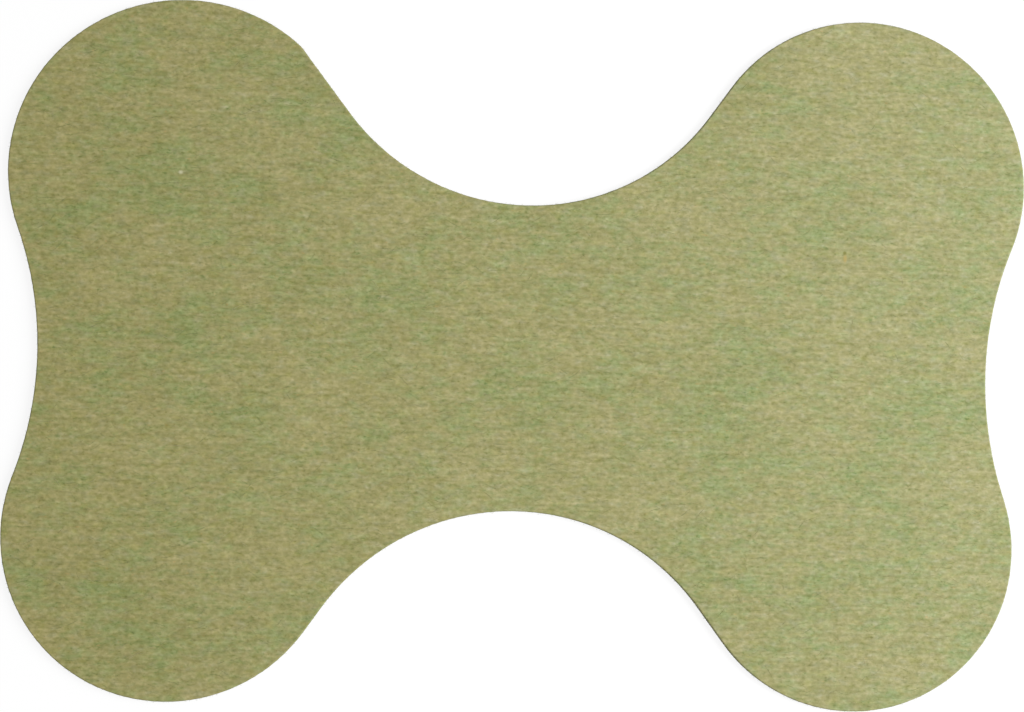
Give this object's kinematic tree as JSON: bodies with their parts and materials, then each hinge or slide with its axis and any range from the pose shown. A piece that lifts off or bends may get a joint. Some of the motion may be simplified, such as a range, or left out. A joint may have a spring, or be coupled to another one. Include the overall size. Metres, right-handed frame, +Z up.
{
  "type": "transdermal patch",
  "caption": "Four-lobed knee patch: mottled green backing cloth over a herbal adhesive layer, lying on a release liner that a wavy slit parts in halves.",
  "frame": {"origin": "on the liner's underside, at the middle of the outline's box", "axes": "+Z up through the cloth, +X along the long side towards the right-hand lobes, +Y towards the back waist"},
  "size_m": [0.1302, 0.0888, 0.0011],
  "materials": {
    "cloth": "matt nonwoven cloth, mottled green and tan with fine streaks along the long side",
    "adhesive": "dark brown tacky hot-melt adhesive with herbal extract",
    "liner": "smooth pale release film with a soft gloss"
  },
  "bodies": {
    "root": {"backing_cloth": "cloth", "adhesive_layer": "adhesive", "release_liner_left": "liner", "release_liner_right": "liner"}
  },
  "joints": []
}
